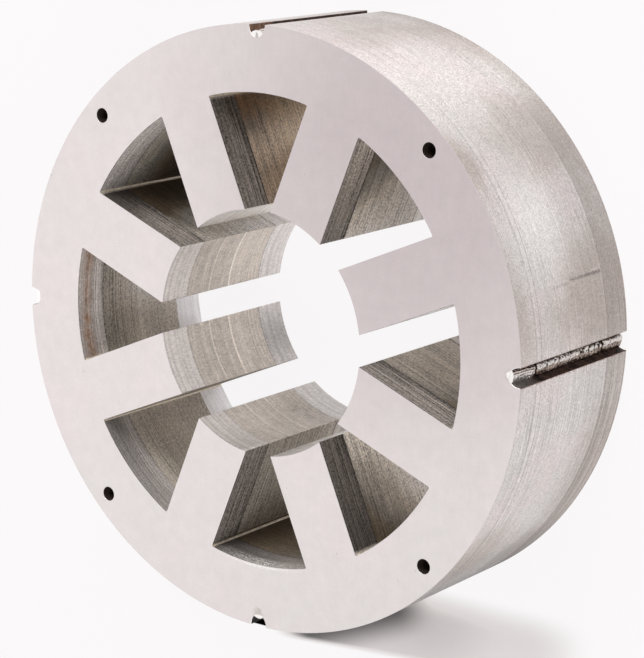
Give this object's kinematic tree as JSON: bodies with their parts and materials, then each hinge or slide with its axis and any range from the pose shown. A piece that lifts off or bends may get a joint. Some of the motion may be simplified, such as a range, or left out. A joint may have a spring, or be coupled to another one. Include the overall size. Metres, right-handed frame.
{
  "type": "magnetic bearing stator core",
  "caption": "Laminated stator core of a radial magnetic bearing: a slotted steel ring with poles that point inward, held by weld seams in grooves along its outside.",
  "frame": {"origin": "centre of the rear face, on the bore axis", "axes": "+Z along the bore axis, from the rear face towards the front face; +X and +Y each run through a weld groove"},
  "size_m": [0.15, 0.15, 0.0483],
  "materials": {
    "lamination_steel": "ground on the end faces, as stamped elsewhere",
    "weld_metal": "bright, rippled weld metal"
  },
  "bodies": {
    "root": {"lamination_pack_1": "lamination_steel", "lamination_pack_2": "lamination_steel", "lamination_pack_3": "lamination_steel", "lamination_pack_4": "lamination_steel", "lamination_pack_5": "lamination_steel", "lamination_pack_6": "lamination_steel", "weld_seam_0_deg": "weld_metal", "weld_seam_90_deg": "weld_metal", "weld_seam_180_deg": "weld_metal", "weld_seam_270_deg": "weld_metal"}
  },
  "joints": []
}
